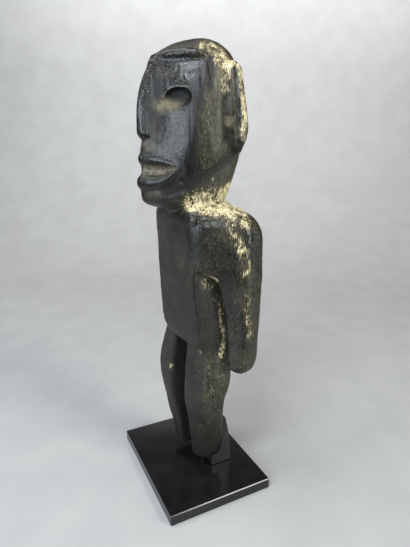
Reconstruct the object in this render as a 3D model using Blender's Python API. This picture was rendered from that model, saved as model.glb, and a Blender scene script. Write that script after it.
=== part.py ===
# Standing stone idol on a small black stand.
#
# Three pieces: the idol, one carved stone; the block that carries it by the heel of its left leg;
# and the plate that both stand on. Metres, +Z up. The origin is the middle of the plate's underside.
# The idol faces -Y, so its left side is at +X.

import math

import bmesh
import bpy
import numpy as np
from mathutils import Matrix, Vector

# Driving dimensions, in metres.
PLATE_WIDTH = 0.102
PLATE_DEPTH = 0.079
PLATE_THICKNESS = 0.008
PLATE_EDGE = 0.0005

FIGURE_HEIGHT = 0.2908
FIGURE_LIFT = 0.0087
FIGURE_OFFSET = (0.0011, -0.0012)
FIGURE_TURN = math.radians(3.0)

BLOCK_WIDTH = 0.0138
BLOCK_FOOT_DEPTH = 0.0168
BLOCK_WAIST_DEPTH = 0.0148
BLOCK_WAIST_HEIGHT = 0.0240
BLOCK_TOP_THICKNESS = 0.0032
BLOCK_HEIGHT = 0.0375
BLOCK_PEAK = 0.0040
BLOCK_TAPER = 0.0011
BLOCK_EDGE = 0.0004
BLOCK_PLACE = (0.0061, 0.0074)

# The seat that the block fills in the left heel: its depth under the sole, and its two heights.
SEAT_HEEL = 0.0053
SEAT_CALF = 0.0086
SEAT_RISE = 0.0109

CLEARANCE = 0.0003
CUT_THROUGH = 0.002

# The figure is laid out in parts of its own height, 293.8 parts from its soles to its crown.
CANON = 293.8
PART = FIGURE_HEIGHT / CANON

VOXEL = 1.4 * PART
FACET_SHARE = 0.1


def clear_scene():
    for old in list(bpy.data.objects):
        bpy.data.objects.remove(old, do_unlink=True)


def stone_or_paint(name, colour, roughness):
    """Returns a Principled material with a plain colour and roughness."""
    material = bpy.data.materials.new(name)
    material.use_nodes = True
    shader = material.node_tree.nodes["Principled BSDF"]
    shader.inputs["Base Color"].default_value = (*colour, 1.0)
    shader.inputs["Roughness"].default_value = roughness
    shader.inputs["Metallic"].default_value = 0.0
    return material


def add_object(name, bm, material=None):
    """Makes an object of a bmesh and links it to the scene."""
    mesh = bpy.data.meshes.new(name)
    bm.to_mesh(mesh)
    bm.free()
    thing = bpy.data.objects.new(name, mesh)
    bpy.context.scene.collection.objects.link(thing)
    if material is not None:
        mesh.materials.append(material)
    return thing


def as_cutter(thing):
    thing.hide_render = True
    thing.display_type = "WIRE"
    return thing


# Section and loft helpers for the carved stone. All figure sizes below are in parts.

def whole_plan(half):
    """Mirrors half a plan, given from front centre to back centre, into a closed one."""
    left = [(-x, y) for x, y in reversed(half[1:-1])]
    return list(half) + left


def rounded(plan, cuts, share):
    """Cuts the corners of a closed plan, so that its edges are worn round."""
    points = np.array(plan, float)
    for _ in range(cuts):
        after = np.roll(points, -1, axis=0)
        start = points + (after - points) * share
        stop = after - (after - points) * share
        points = np.stack([start, stop], axis=1).reshape(-1, points.shape[1])
    return points


def between(before, here, there, after, t):
    """Catmull-Rom value between two stations."""
    return 0.5 * (
        2.0 * here
        + (there - before) * t
        + (2.0 * before - 5.0 * here + 4.0 * there - after) * t ** 2
        + (3.0 * here - before - 3.0 * there + after) * t ** 3
    )


def smooth_stations(stations, steps):
    """Fills in rings between stations of equal point counts, on a smooth curve."""
    rings = []
    last = len(stations) - 1
    for i in range(last):
        four = [stations[max(i - 1, 0)], stations[i], stations[i + 1], stations[min(i + 2, last)]]
        rings += [between(*four, step / steps) for step in range(steps)]
    rings.append(stations[last])
    return rings


def loft(bm, rings):
    """Bridges closed rings of 3-D points, and fills both ends."""
    loops = []
    for ring in rings:
        circle = bmesh.ops.create_circle(bm, segments=len(ring), radius=1.0)
        verts = circle["verts"]
        for vert, point in zip(verts, ring):
            vert.co = Vector(point)
        loops.append(list({edge for vert in verts for edge in vert.link_edges}))
    for lower, upper in zip(loops, loops[1:]):
        bmesh.ops.bridge_loops(bm, edges=lower + upper)
    bmesh.ops.edgeloop_fill(bm, edges=loops[0])
    bmesh.ops.edgeloop_fill(bm, edges=loops[-1])


def plan_loft(bm, stations, cuts=2, share=0.2, steps=4):
    """Lofts plans given as (height, closed plan)."""
    solid = []
    for height, plan in stations:
        outline = rounded(plan, cuts, share)
        solid.append(np.column_stack([outline, np.full(len(outline), float(height))]))
    loft(bm, smooth_stations(solid, steps))


def bar_loft(bm, path, radii, upright=False, sides=14, steps=4):
    """Lofts a bar of elliptic section along a path: radii are (in and out, along the surface)."""
    level = (0.0, 1.0, 0.0) if upright else (0.0, 0.0, 1.0)
    points = [np.array(p, float) for p in path]
    stations = []
    for i, point in enumerate(points):
        run = points[min(i + 1, len(points) - 1)] - points[max(i - 1, 0)]
        run /= np.linalg.norm(run)
        across = np.cross(run, level)
        across /= np.linalg.norm(across)
        up = np.cross(across, run)
        ring = []
        for side in range(sides):
            angle = 2.0 * math.pi * side / sides
            reach = across * math.cos(angle) * radii[i][0] + up * math.sin(angle) * radii[i][1]
            ring.append(point + reach)
        stations.append(np.array(ring))
    loft(bm, smooth_stations(stations, steps))


def ball(bm, centre, radii, turn, under):
    """Adds an ellipsoid turned about the upright. Its depth runs in by under for each part it rises."""
    slope = Matrix.Identity(4)
    slope[1][2] = under
    place = (
        Matrix.Translation(centre)
        @ Matrix.Rotation(turn, 4, "Z")
        @ slope
        @ Matrix.Diagonal((*radii, 1.0))
    )
    bmesh.ops.create_uvsphere(bm, u_segments=28, v_segments=18, radius=1.0, matrix=place)


# Torso: flat front, worn corners, rounder back, ending below in a shallow V over the thighs.

def torso_hem(x, y):
    """Height of the torso's lower edge: a shallow V in front, lower round the sides and back."""
    front = 95.6 + 3.4 * (abs(x) / 30.0) ** 2
    to_back = min(max((y + 11.0) / 11.0, 0.0), 1.0)
    return front + (86.0 - front) * to_back * to_back * (3.0 - 2.0 * to_back)


def add_torso(bm):
    levels = [
        (86.0, 27.6, -10.2, 18.0, 0.09), (92.0, 28.6, -11.4, 20.0, 0.09), (101.0, 29.2, -12.0, 21.4, 0.09),
        (115.0, 28.4, -12.8, 22.6, 0.06), (130.0, 27.2, -13.8, 23.8, 0.03), (147.0, 26.6, -14.9, 24.8, 0.02),
        (162.0, 27.4, -15.8, 25.6, 0.05), (178.0, 28.8, -16.8, 26.2, 0.09), (187.0, 28.6, -17.0, 25.6, 0.09),
        (191.5, 26.6, -14.4, 23.5, 0.09), (195.0, 22.0, -9.0, 20.0, 0.09), (197.5, 15.0, -4.0, 15.0, 0.09),
    ]
    stations = []
    for height, half_width, front, back, worn in levels:
        depth = back - front
        half = [
            (0.0, front - 0.6),
            (half_width * (1.0 - 1.33 * worn), front),
            (half_width + 5.5 * worn, front + depth * worn),
            (half_width, front + depth * 0.62),
            (half_width * 0.80, back - depth * 0.08),
            (half_width * 0.40, back),
            (0.0, back - 0.8),
        ]
        stations.append((height, whole_plan(half)))
    before = set(bm.verts)
    plan_loft(bm, stations, share=0.16)
    for vert in set(bm.verts) - before:
        hem = torso_hem(vert.co.x, vert.co.y)
        if vert.co.z < 108.0:
            vert.co.z = hem + (vert.co.z - 86.0) * (108.0 - hem) / 22.0


# Arms: flat paddles with a ridge down the outer side, no hands, blended into sloping shoulders.

def add_arm(bm, side):
    stations = [
        (77.0, (35.6, 19.0), (37.6, 16.6), (39.8, 18.0), (39.2, 23.0), (37.0, 23.5)),
        (80.0, (33.4, 14.0), (35.6, 10.8), (42.6, 16.2), (40.8, 27.4), (35.2, 27.4)),
        (88.0, (32.6, 12.0), (34.2, 8.8), (44.4, 16.0), (41.6, 30.2), (34.4, 29.6)),
        (100.0, (32.4, 12.0), (33.8, 8.8), (45.0, 16.0), (41.8, 30.6), (34.2, 30.0)),
        (116.0, (32.0, 10.6), (33.6, 7.2), (45.2, 15.8), (41.9, 31.0), (34.0, 30.4)),
        (130.0, (31.4, 8.0), (33.2, 4.8), (45.4, 15.6), (42.0, 31.4), (33.4, 30.6)),
        (140.0, (30.4, 5.4), (32.4, 2.0), (45.4, 15.4), (42.0, 31.6), (32.4, 30.6)),
        (146.0, (28.4, 3.0), (31.2, -1.6), (45.4, 15.2), (42.2, 32.0), (31.0, 30.5)),
        (150.0, (24.0, -4.0), (29.8, -9.6), (45.4, 15.0), (42.2, 32.0), (28.0, 30.0)),
        (153.0, (20.0, -13.0), (28.8, -14.2), (45.4, 14.8), (42.2, 31.9), (26.0, 29.5)),
        (162.0, (20.0, -14.4), (28.6, -15.0), (45.4, 14.4), (42.2, 31.8), (24.0, 29.0)),
        (173.0, (20.0, -15.2), (28.9, -15.4), (45.2, 13.8), (42.0, 31.6), (22.0, 28.0)),
        (181.0, (19.0, -15.2), (28.7, -15.0), (44.0, 12.4), (40.8, 29.2), (20.0, 27.0)),
        (187.0, (18.0, -13.4), (27.6, -12.6), (41.0, 10.6), (37.4, 25.6), (16.0, 24.5)),
        (191.5, (14.0, -8.0), (22.4, -7.0), (34.8, 8.8), (31.4, 19.6), (12.0, 20.0)),
        (195.0, (8.0, -1.0), (13.0, 0.0), (24.0, 8.0), (22.0, 14.0), (8.0, 15.0)),
    ]
    solid = []
    for height, *corners in stations:
        plan = [(side * x, y) for x, y in corners]
        solid.append((height, plan))
    plan_loft(bm, solid, cuts=2, share=0.15)


# Legs: faceted, bent forward at the knee and tapering to plain stumps of feet.

def add_left_leg(bm):
    stations = [
        (-1.2, (6.6, -3.6), (13.6, -1.8), (18.4, 3.4), (17.6, 13.0), (9.0, 14.8), (5.8, 8.0)),
        (3.0, (7.4, -4.6), (15.0, -2.2), (19.8, 4.2), (19.6, 13.4), (10.0, 15.4), (6.2, 8.0)),
        (12.0, (8.6, -6.2), (16.4, -2.6), (21.4, 4.0), (21.2, 15.2), (11.0, 16.8), (7.0, 8.0)),
        (21.0, (9.6, -7.8), (17.6, -4.0), (23.4, 2.2), (22.6, 15.4), (12.0, 16.6), (7.6, 6.0)),
        (34.0, (10.0, -9.8), (19.0, -6.6), (26.8, -1.4), (25.6, 13.4), (13.0, 16.0), (7.8, 4.0)),
        (45.0, (10.0, -11.6), (20.0, -9.2), (29.2, -4.6), (28.6, 11.6), (14.0, 15.6), (7.8, 3.0)),
        (54.0, (9.8, -12.8), (20.6, -10.6), (30.6, -6.0), (30.6, 11.6), (14.0, 17.4), (7.6, 3.0)),
        (63.0, (9.6, -12.6), (20.8, -10.6), (31.2, -6.0), (31.6, 14.2), (14.0, 20.0), (7.4, 4.0)),
        (73.0, (9.6, -12.0), (20.4, -9.8), (30.8, -5.0), (31.8, 15.4), (14.0, 21.4), (7.4, 4.0)),
        (86.0, (9.6, -11.0), (19.8, -8.6), (29.6, -3.8), (30.6, 15.6), (14.0, 21.6), (7.4, 4.0)),
        (104.0, (8.0, -9.0), (17.6, -7.0), (26.0, -3.0), (26.0, 14.0), (14.0, 19.0), (6.0, 4.0)),
    ]
    corners = [(height, list(plan)) for height, *plan in stations]
    plan_loft(bm, corners, cuts=2, share=0.13)


def add_right_leg(bm):
    stations = [
        (-1.2, (-6.8, -2.8), (-12.6, -4.2), (-21.6, -3.6), (-21.2, 11.0), (-9.0, 14.0), (-5.8, 7.0)),
        (3.0, (-7.6, -4.4), (-13.6, -5.2), (-22.4, -4.6), (-22.4, 12.4), (-10.0, 15.0), (-6.2, 7.0)),
        (14.0, (-8.2, -5.8), (-15.0, -6.6), (-23.4, -6.2), (-23.6, 14.2), (-11.0, 16.6), (-7.0, 7.0)),
        (24.0, (-9.6, -7.2), (-17.0, -8.4), (-25.6, -8.8), (-25.4, 14.8), (-12.0, 16.6), (-7.6, 6.0)),
        (36.0, (-10.8, -9.6), (-19.0, -10.4), (-29.0, -9.8), (-28.6, 13.6), (-13.0, 16.0), (-7.8, 4.0)),
        (45.0, (-11.2, -11.4), (-20.6, -12.2), (-31.0, -11.0), (-31.0, 12.0), (-14.0, 15.6), (-7.8, 3.0)),
        (54.0, (-11.4, -12.6), (-21.4, -13.4), (-32.4, -12.2), (-32.6, 12.0), (-14.0, 17.4), (-7.6, 3.0)),
        (65.0, (-11.4, -12.6), (-21.8, -13.4), (-33.0, -12.8), (-33.2, 14.4), (-14.0, 20.0), (-7.6, 4.0)),
        (75.0, (-11.2, -12.0), (-21.6, -12.6), (-32.4, -11.8), (-32.8, 15.4), (-14.0, 21.4), (-7.6, 4.0)),
        (86.0, (-10.6, -10.6), (-20.6, -11.0), (-30.8, -9.8), (-31.0, 15.6), (-14.0, 21.6), (-7.6, 4.0)),
        (104.0, (-8.0, -9.0), (-17.6, -8.4), (-26.0, -7.0), (-26.0, 14.0), (-14.0, 19.0), (-6.0, 4.0)),
    ]
    corners = [(height, list(plan)) for height, *plan in stations]
    plan_loft(bm, corners, cuts=2, share=0.13)


# Head: a face keeled along the nose, flat sides, and a high round skull.

def add_skull(bm):
    stations = [
        (186.0, (0.0, -10.0), (11.0, -9.0), (18.0, -4.0), (22.0, 4.0), (16.0, 14.5), (0.0, 18.0)),
        (190.5, (0.0, -25.0), (8.0, -20.0), (15.0, -11.0), (22.0, 1.0), (17.0, 14.5), (0.0, 18.4)),
        (193.5, (0.0, -34.4), (9.6, -27.2), (17.0, -14.5), (22.4, 0.0), (17.6, 15.0), (0.0, 19.2)),
        (197.0, (0.0, -38.0), (11.2, -29.8), (19.2, -16.4), (23.0, 0.0), (18.4, 15.8), (0.0, 20.4)),
        (205.0, (0.0, -38.4), (12.0, -30.2), (21.6, -17.0), (24.4, 0.0), (20.6, 17.8), (0.0, 23.4)),
        (216.0, (0.0, -38.4), (12.6, -29.4), (24.2, -16.8), (26.4, 0.0), (23.6, 20.0), (0.0, 26.8)),
        (228.0, (0.0, -38.2), (13.2, -28.8), (27.0, -16.2), (29.2, 0.0), (26.6, 22.0), (0.0, 29.0)),
        (236.0, (0.0, -35.8), (13.6, -27.8), (28.2, -15.6), (30.4, 1.0), (26.8, 21.8), (0.0, 29.6)),
        (246.0, (0.0, -33.6), (13.8, -27.4), (28.8, -15.2), (31.0, 2.0), (26.6, 21.2), (0.0, 29.8)),
        (256.0, (0.0, -33.6), (14.0, -26.6), (28.8, -13.4), (31.2, 2.8), (26.4, 20.4), (0.0, 29.4)),
        (266.0, (0.0, -34.0), (14.4, -25.2), (28.8, -9.2), (31.0, 3.0), (26.0, 19.8), (0.0, 28.8)),
        (273.0, (0.0, -33.4), (14.4, -22.8), (28.2, -5.6), (30.2, 3.2), (25.2, 18.8), (0.0, 27.6)),
        (279.0, (0.0, -31.8), (14.2, -20.4), (26.2, -4.4), (28.0, 3.2), (23.4, 17.4), (0.0, 25.8)),
        (284.6, (0.0, -24.8), (13.0, -17.0), (22.0, -4.6), (24.4, 2.8), (20.4, 15.8), (0.0, 23.0)),
        (290.0, (0.0, -15.4), (9.6, -10.2), (15.8, -2.8), (17.8, 2.8), (14.4, 12.6), (0.0, 18.0)),
        (292.9, (0.0, -6.4), (5.6, -4.0), (9.8, 0.0), (11.0, 3.2), (8.8, 9.2), (0.0, 12.8)),
        (293.8, (0.0, 0.6), (2.0, 1.2), (3.0, 2.4), (3.6, 3.8), (3.0, 6.6), (0.0, 8.0)),
    ]
    solid = [(height, whole_plan(half)) for height, *half in stations]
    plan_loft(bm, solid, cuts=2, share=0.15, steps=3)


def add_nose(bm):
    stations = [
        (233.4, (0.0, -36.8), (4.0, -34.4), (6.2, -28.0), (0.0, -18.0)),
        (235.2, (0.0, -38.4), (3.2, -37.2), (8.2, -30.2), (0.0, -18.0)),
        (238.5, (0.0, -39.8), (3.0, -38.2), (8.2, -30.0), (0.0, -18.0)),
        (246.0, (0.0, -39.8), (2.6, -38.0), (7.4, -29.8), (0.0, -18.0)),
        (256.0, (0.0, -39.0), (2.4, -37.2), (6.8, -29.4), (0.0, -18.0)),
        (265.0, (0.0, -36.8), (2.6, -35.0), (6.6, -28.4), (0.0, -18.0)),
        (272.0, (0.0, -33.8), (3.0, -31.8), (7.0, -25.8), (0.0, -16.0)),
        (278.0, (0.0, -30.2), (3.2, -27.8), (7.0, -22.6), (0.0, -14.0)),
    ]
    solid = [(height, whole_plan(half)) for height, *half in stations]
    plan_loft(bm, solid, cuts=2, share=0.15, steps=3)


def both_ways(half):
    """Mirrors a path that starts on the centre plane, so that it runs from right to left."""
    return [(-x, y, z) for x, y, z in half[:0:-1]] + list(half)


def add_lips(bm):
    """Two thick lips that wrap the keel of the face and meet at the corners of the mouth."""
    upper = [
        (0.0, -36.6, 221.6), (4.0, -34.4, 221.5), (10.0, -30.0, 220.8), (15.5, -25.6, 219.4),
        (21.0, -20.8, 216.8),
    ]
    upper_size = [(2.4, 3.4), (2.4, 3.3), (2.0, 3.0), (1.5, 2.2), (0.8, 0.8)]
    bar_loft(bm, both_ways(upper), upper_size[:0:-1] + upper_size)
    lower = [
        (0.0, -35.8, 207.4), (4.0, -34.0, 207.3), (10.0, -29.9, 207.8), (15.0, -26.2, 210.2),
        (18.2, -23.4, 213.2), (21.0, -20.8, 216.4),
    ]
    lower_size = [(4.4, 5.0), (4.2, 4.8), (3.2, 3.8), (2.4, 2.8), (1.6, 1.8), (0.8, 0.8)]
    bar_loft(bm, both_ways(lower), lower_size[:0:-1] + lower_size)


def add_brow_band(bm):
    """The low raised band that edges the skull above the forehead and dies out in front."""
    half = [
        (0.0, -27.6, 279.8), (9.0, -22.4, 280.9), (16.0, -15.4, 281.2), (21.0, -9.4, 281.0),
        (24.4, -5.4, 280.0),
    ]
    sizes = [(1.7, 2.6), (2.5, 3.0), (2.9, 3.1), (2.7, 2.8), (1.4, 1.6)]
    bar_loft(bm, both_ways(half), sizes[:0:-1] + sizes)


def add_ear(bm, side):
    """A long upright ear: a ramp that rises off the side of the head to a rim behind."""
    stations = [
        (226.0, (24.0, 12.0), (29.6, 15.6), (29.8, 18.4), (24.0, 19.6)),
        (230.0, (26.0, 7.0), (32.2, 13.8), (32.4, 19.0), (25.0, 20.8)),
        (234.0, (27.2, 1.5), (33.4, 12.4), (33.6, 19.8), (25.5, 22.0)),
        (240.0, (28.0, -1.0), (34.0, 12.0), (34.0, 20.8), (25.8, 23.2)),
        (247.0, (28.6, -2.0), (34.2, 11.6), (34.0, 20.0), (25.8, 23.0)),
        (257.0, (28.9, -2.0), (34.0, 10.8), (33.6, 18.2), (25.6, 22.0)),
        (268.0, (28.2, -1.6), (33.0, 10.0), (32.6, 16.4), (25.0, 20.6)),
        (275.0, (27.0, 0.5), (31.6, 9.8), (31.6, 15.6), (24.6, 19.4)),
        (279.0, (22.0, 8.6), (28.6, 10.2), (28.4, 13.4), (22.0, 15.0)),
    ]
    solid = []
    for height, *corners in stations:
        solid.append((height, [(side * x, y) for x, y in corners]))
    plan_loft(bm, solid, cuts=2, share=0.13)


# What is cut out of the stone: eye sockets, the ears' grooves and the slits inside the arms.

EYE_SLANT = math.radians(38.0)


def add_eye_socket(bm, side):
    """A pocket that runs in under its upper lid, with a shallow trough towards the nose."""
    pocket = ((20.0, -21.6, 255.6), (8.8, 4.8, 6.6), 0.50)
    trough = ((10.8, -29.6, 253.2), (6.8, 2.3, 3.6), 0.30)
    for (x, y, z), radii, under in (pocket, trough):
        ball(bm, (side * x, y, z), radii, side * EYE_SLANT, under)


def add_ear_groove(bm, side):
    """The deep line that parts the ear's rim from its flat front."""
    path = [
        (side * 32.6, 14.6, 229.0), (side * 34.2, 13.8, 236.0), (side * 34.6, 12.9, 247.0),
        (side * 34.0, 11.9, 260.0), (side * 31.8, 10.6, 274.5),
    ]
    bar_loft(bm, path, [(2.0, 1.2), (2.9, 1.4), (3.0, 1.4), (2.8, 1.4), (2.0, 1.2)], upright=True)


def add_temple_groove(bm, side):
    path = [(side * 29.6, -4.8, 265.0), (side * 28.9, -4.1, 272.0), (side * 27.0, -3.4, 279.5)]
    bar_loft(bm, path, [(1.0, 1.0), (2.0, 1.4), (2.2, 1.4)], upright=True)


def add_mouth_channel(bm):
    """The open mouth: a shallow lens between the lips."""
    half = [
        (0.0, -39.4, 215.4), (5.0, -35.9, 215.2), (11.0, -30.9, 214.9), (16.5, -26.4, 215.6),
        (21.4, -22.0, 216.8),
    ]
    sizes = [(2.4, 3.6), (2.4, 3.8), (2.4, 3.6), (1.8, 1.8), (0.8, 0.8)]
    bar_loft(bm, both_ways(half), sizes[:0:-1] + sizes)


def add_arm_slit(bm, side):
    stations = [
        (74.0, (30.4, -4.0), (33.6, -4.0), (34.4, 38.0), (30.8, 38.0)),
        (110.0, (29.6, -4.0), (32.6, -4.0), (33.4, 38.0), (30.2, 38.0)),
        (130.0, (28.8, -2.0), (31.8, -2.0), (32.4, 38.0), (29.6, 38.0)),
        (140.0, (28.4, 1.0), (30.9, 1.0), (31.4, 38.0), (29.0, 38.0)),
        (145.0, (28.8, 4.0), (30.2, 4.0), (30.6, 38.0), (29.2, 38.0)),
    ]
    solid = []
    for height, *corners in stations:
        solid.append((height, [(side * x, y) for x, y in corners]))
    plan_loft(bm, solid, cuts=1, share=0.2)


def to_place(bm):
    """Scales the figure from parts to metres, turns it and stands it over the plate."""
    stand = PLATE_THICKNESS + FIGURE_LIFT
    place = (
        Matrix.Translation((*FIGURE_OFFSET, stand))
        @ Matrix.Rotation(FIGURE_TURN, 4, "Z")
        @ Matrix.Scale(PART, 4)
    )
    bmesh.ops.transform(bm, matrix=place, verts=bm.verts)


def outward(bm):
    bmesh.ops.recalc_face_normals(bm, faces=bm.faces)


# The block's side view, in (Y, Z): a foot, a step under the heel and a tapering upright behind it.
# The heel sits on the step, and the back of the calf leans on the upright.

BLOCK_LEFT, BLOCK_FRONT = BLOCK_PLACE
HEEL_Y = BLOCK_FRONT + SEAT_HEEL
CALF_Y = BLOCK_FRONT + SEAT_CALF
SOLE_Z = PLATE_THICKNESS + FIGURE_LIFT
CALF_Z = SOLE_Z + SEAT_RISE


def prism(outline, left, width):
    """Extrudes a side view, given as (Y, Z) points, to a width along X."""
    bm = bmesh.new()
    verts = [bm.verts.new((left, y, z)) for y, z in outline]
    side = bm.faces.new(verts)
    grown = bmesh.ops.extrude_face_region(bm, geom=[side])
    far = [v for v in grown["geom"] if isinstance(v, bmesh.types.BMVert)]
    bmesh.ops.translate(bm, vec=(width, 0.0, 0.0), verts=far)
    outward(bm)
    return bm


def build_block(material):
    low = PLATE_THICKNESS + CLEARANCE
    top = low + BLOCK_HEIGHT
    outline = [
        (BLOCK_FRONT, low),
        (BLOCK_FRONT + BLOCK_FOOT_DEPTH, low),
        (BLOCK_FRONT + BLOCK_WAIST_DEPTH, low + BLOCK_WAIST_HEIGHT),
        (CALF_Y + BLOCK_TOP_THICKNESS, top),
        (CALF_Y, top + BLOCK_PEAK),
        (CALF_Y, CALF_Z),
        (HEEL_Y, SOLE_Z),
        (BLOCK_FRONT, SOLE_Z),
    ]
    bm = prism(outline, BLOCK_LEFT, BLOCK_WIDTH)
    middle = BLOCK_LEFT + BLOCK_WIDTH / 2.0
    for vert in bm.verts:
        rise = (vert.co.z - low) / BLOCK_HEIGHT
        vert.co.x -= math.copysign(BLOCK_TAPER * rise, vert.co.x - middle)
    block = add_object("support_block", bm, material)
    edge = block.modifiers.new("worn edges", "BEVEL")
    edge.width = BLOCK_EDGE
    edge.segments = 2
    return block


def build_seat_cutter():
    """What the block takes out of the heel: the block's own outline, grown by the clearance."""
    over = SOLE_Z + CLEARANCE
    behind = BLOCK_FRONT + BLOCK_FOOT_DEPTH + CUT_THROUGH
    above = PLATE_THICKNESS + BLOCK_HEIGHT + BLOCK_PEAK + CUT_THROUGH
    outline = [
        (BLOCK_FRONT - CLEARANCE, PLATE_THICKNESS),
        (behind, PLATE_THICKNESS),
        (behind, above),
        (CALF_Y - CLEARANCE, above),
        (CALF_Y - CLEARANCE, CALF_Z + CLEARANCE),
        (HEEL_Y - CLEARANCE, over),
        (BLOCK_FRONT - CLEARANCE, over),
    ]
    bm = prism(outline, BLOCK_LEFT - CUT_THROUGH, BLOCK_WIDTH + 2.0 * CUT_THROUGH)
    return as_cutter(add_object("heel_seat_cutter", bm))


def build_plate(material):
    bm = bmesh.new()
    size = Matrix.Diagonal((PLATE_WIDTH, PLATE_DEPTH, PLATE_THICKNESS, 1.0))
    lift = Matrix.Translation((0.0, 0.0, PLATE_THICKNESS / 2.0))
    bmesh.ops.create_cube(bm, size=1.0, matrix=lift @ size)
    plate = add_object("base_plate", bm, material)
    edge = plate.modifiers.new("sanded edges", "BEVEL")
    edge.width = PLATE_EDGE
    edge.segments = 2
    return plate


def build_idol(material):
    bm = bmesh.new()
    add_torso(bm)
    add_left_leg(bm)
    add_right_leg(bm)
    add_skull(bm)
    add_nose(bm)
    add_lips(bm)
    add_brow_band(bm)
    for side in (-1, 1):
        add_arm(bm, side)
        add_ear(bm, side)
    outward(bm)
    to_place(bm)
    idol = add_object("idol", bm, material)

    cuts = bmesh.new()
    for side in (-1, 1):
        add_eye_socket(cuts, side)
        add_ear_groove(cuts, side)
        add_temple_groove(cuts, side)
        add_arm_slit(cuts, side)
    add_mouth_channel(cuts)
    outward(cuts)
    to_place(cuts)
    carving = as_cutter(add_object("carving_cutter", cuts))

    fuse = idol.modifiers.new("one stone", "REMESH")
    fuse.mode = "VOXEL"
    fuse.voxel_size = VOXEL
    carve = idol.modifiers.new("carving", "BOOLEAN")
    carve.operation = "DIFFERENCE"
    carve.object = carving
    carve.solver = "EXACT"
    carve.use_self = True
    settle = idol.modifiers.new("worn stone", "REMESH")
    settle.mode = "VOXEL"
    settle.voxel_size = VOXEL
    wear = idol.modifiers.new("polish", "SMOOTH")
    wear.factor = 0.5
    wear.iterations = 2
    facet = idol.modifiers.new("facets", "DECIMATE")
    facet.ratio = FACET_SHARE
    seat = idol.modifiers.new("heel seat", "BOOLEAN")
    seat.operation = "DIFFERENCE"
    seat.object = build_seat_cutter()
    seat.solver = "EXACT"
    return idol


clear_scene()
black_paint = stone_or_paint("satin black paint", (0.012, 0.012, 0.013), 0.35)
dark_stone = stone_or_paint("polished dark stone", (0.035, 0.037, 0.032), 0.4)
build_plate(black_paint)
build_block(black_paint)
build_idol(dark_stone)
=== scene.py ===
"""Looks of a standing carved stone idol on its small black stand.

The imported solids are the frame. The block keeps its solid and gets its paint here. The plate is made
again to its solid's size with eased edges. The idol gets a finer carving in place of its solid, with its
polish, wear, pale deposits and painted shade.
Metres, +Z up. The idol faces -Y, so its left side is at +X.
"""

import math

import bmesh
import bpy
import numpy as np
from mathutils import Matrix, Vector, noise


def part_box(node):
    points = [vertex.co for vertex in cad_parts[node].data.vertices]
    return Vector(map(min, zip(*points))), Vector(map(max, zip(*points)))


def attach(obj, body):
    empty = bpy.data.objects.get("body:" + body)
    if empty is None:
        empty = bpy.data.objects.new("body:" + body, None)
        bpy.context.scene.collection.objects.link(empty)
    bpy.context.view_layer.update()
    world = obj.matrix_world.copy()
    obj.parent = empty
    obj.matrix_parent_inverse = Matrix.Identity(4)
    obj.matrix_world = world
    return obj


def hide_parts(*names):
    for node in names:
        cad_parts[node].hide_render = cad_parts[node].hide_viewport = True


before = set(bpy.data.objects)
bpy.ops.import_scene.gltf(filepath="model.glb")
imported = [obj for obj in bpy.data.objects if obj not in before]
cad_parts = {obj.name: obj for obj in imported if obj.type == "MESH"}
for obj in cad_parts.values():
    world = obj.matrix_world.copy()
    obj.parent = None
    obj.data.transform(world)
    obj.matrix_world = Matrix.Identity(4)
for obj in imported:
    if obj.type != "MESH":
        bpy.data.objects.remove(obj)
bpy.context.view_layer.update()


# The plate: a flat slab of black painted metal that the whole work stands on. It is cut from sheet,
# its edges are eased with a file, and it is sprayed satin black. Dust lies on the paint in faint
# clouds and specks.

class Wire:
    """One output of a material's nodes. Arithmetic on it adds Math nodes."""

    def __init__(self, tree, socket):
        self.tree = tree
        self.socket = socket

    def node(self, kind, settings, sockets, output=0):
        """Adds a node. Settings are set first, then each socket's value or link."""
        made = self.tree.nodes.new(kind)
        for name, value in settings.items():
            setattr(made, name, value)
        for name, value in sockets.items():
            if isinstance(value, Wire):
                self.tree.links.new(value.socket, made.inputs[name])
            else:
                made.inputs[name].default_value = value
        return Wire(self.tree, made.outputs[output])

    def math(self, operation, first, second):
        return self.node("ShaderNodeMath", {"operation": operation}, {0: first, 1: second})

    def __add__(self, other):
        return self.math("ADD", self, other)

    def __radd__(self, other):
        return self.math("ADD", other, self)

    def __sub__(self, other):
        return self.math("SUBTRACT", self, other)

    def __rsub__(self, other):
        return self.math("SUBTRACT", other, self)

    def __mul__(self, other):
        return self.math("MULTIPLY", self, other)

    def __rmul__(self, other):
        return self.math("MULTIPLY", other, self)

    def rise(self, low, high):
        """0 below low, 1 above high, smooth between."""
        sockets = {"Value": self, "From Min": low, "From Max": high}
        return self.node("ShaderNodeMapRange", {"interpolation_type": "SMOOTHSTEP"}, sockets)

    def blend(self, under, over):
        """The colour under, covered with the colour over as far as this value says."""
        return self.node(
            "ShaderNodeMix", {"data_type": "RGBA"}, {"Factor": self, 6: under, 7: over}, output=2
        )


def new_finish(name):
    """A material with a Principled shader: returns it, the shader and a wire of Object coordinates."""
    material = bpy.data.materials.new(name)
    material.use_nodes = True
    tree = material.node_tree
    shader = tree.nodes["Principled BSDF"]
    place = tree.nodes.new("ShaderNodeTexCoord").outputs["Object"]
    return material, shader, Wire(tree, place)


def grain(place, size, detail=3.0, stretch=(1.0, 1.0, 1.0), turn=(0.0, 0.0, 0.0), rough=0.55):
    """Noise with a feature size in metres, longer along an axis where stretch is above 1."""
    scale = tuple(1.0 / (size * s) for s in stretch)
    laid = place.node("ShaderNodeMapping", {}, {"Vector": place, "Rotation": turn, "Scale": scale})
    sockets = {"Vector": laid, "Scale": 1.0, "Detail": detail, "Roughness": rough}
    return place.node("ShaderNodeTexNoise", {}, sockets)


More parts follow.
